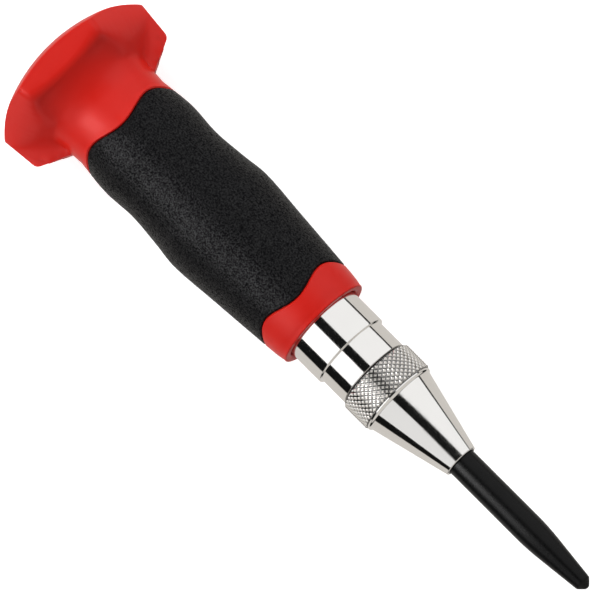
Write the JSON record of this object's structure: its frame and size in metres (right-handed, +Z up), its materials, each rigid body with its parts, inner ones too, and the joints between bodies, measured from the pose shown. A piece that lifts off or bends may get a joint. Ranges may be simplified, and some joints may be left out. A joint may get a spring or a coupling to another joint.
{
  "type": "automatic center punch",
  "caption": "Spring-driven automatic center punch with a red palm handle, rubber grip, plated barrel, knurled nose and dark pointed tip, lying on a flat of its head.",
  "frame": {"origin": "on the bench, under the middle of the lying tool's box", "axes": "+X from the palm head towards the point, +Z up from the bench; the tool's own axis lies in the XZ plane and slopes down to the point"},
  "size_m": [0.154, 0.0392, 0.0347],
  "materials": {
    "red_plastic": "satin gloss moulding",
    "black_rubber": "fine pebbled",
    "nickel_plate": "bright plated",
    "black_oxide": "black oxide, satin",
    "plain_steel": "turned",
    "hardened_steel": "hardened and ground",
    "spring_steel": "drawn wire",
    "brass": "turned"
  },
  "bodies": {
    "handle": {"handle_core": "red_plastic", "rubber_grip": "black_rubber", "handle_insert": "brass", "thrust_plate": "hardened_steel", "handle_o_ring": "black_rubber"},
    "tension": {"spring_button": "plain_steel"},
    "barrel": {"barrel": "nickel_plate", "centring_bush": "hardened_steel", "main_spring": "spring_steel", "trip_spring": "spring_steel"},
    "nose_seal": {"nose_o_ring": "black_rubber"},
    "nose": {"nose_cone": "nickel_plate"},
    "punch": {"point_plunger": "plain_steel", "punch_point": "black_oxide"},
    "trip": {"trip_pin": "hardened_steel", "spring_washer": "plain_steel"},
    "hammer": {"hammer": "hardened_steel"}
  },
  "joints": [
    {"name": "barrel_turn", "type": "hinge", "parent": "handle", "child": "tension", "pos_m": [0.00212, 0, 0.01075], "axis": [-0.9962, 0, 0.0873], "range_deg": [0, 1080]},
    {"name": "barrel_feed", "type": "slide", "parent": "tension", "child": "barrel", "axis": [-0.9962, 0, 0.0873], "range_m": [0, 0.00375], "deforming": ["main_spring"]},
    {"name": "nose_feed", "type": "slide", "parent": "barrel", "child": "nose_seal", "axis": [0.9962, 0, -0.0873], "range_m": [0, 0.006]},
    {"name": "nose_turn", "type": "hinge", "parent": "nose_seal", "child": "nose", "pos_m": [0.01672, 0, 0.00947], "axis": [0.9962, 0, -0.0873], "range_deg": [0, 2160]},
    {"name": "point_press", "type": "slide", "parent": "barrel", "child": "punch", "axis": [-0.9962, 0, 0.0873], "range_m": [0, 0.011], "stiffness_N_per_m": 1000, "springref_m": -0.003, "deforming": ["trip_spring"]},
    {"name": "pin_centre", "type": "hinge", "parent": "punch", "child": "trip", "pos_m": [0.02678, 0, 0.00859], "axis": [0, -1, 0], "range_deg": [0, 2]},
    {"name": "hammer_lift", "type": "slide", "parent": "barrel", "child": "hammer", "axis": [-0.9962, 0, 0.0873], "range_m": [0, 0.011], "stiffness_N_per_m": 8000, "springref_m": -0.004, "deforming": ["main_spring"]}
  ],
  "couplings": [
    {"joint": "barrel_turn", "follows": "barrel_feed", "rad_per_m": 5026.5},
    {"joint": "nose_turn", "follows": "nose_feed", "rad_per_m": 6283.1},
    {"joint": "pin_centre", "follows": "point_press", "rad_per_m": 3.1733},
    {"joint": "hammer_lift", "follows": "point_press", "ratio": 1}
  ]
}
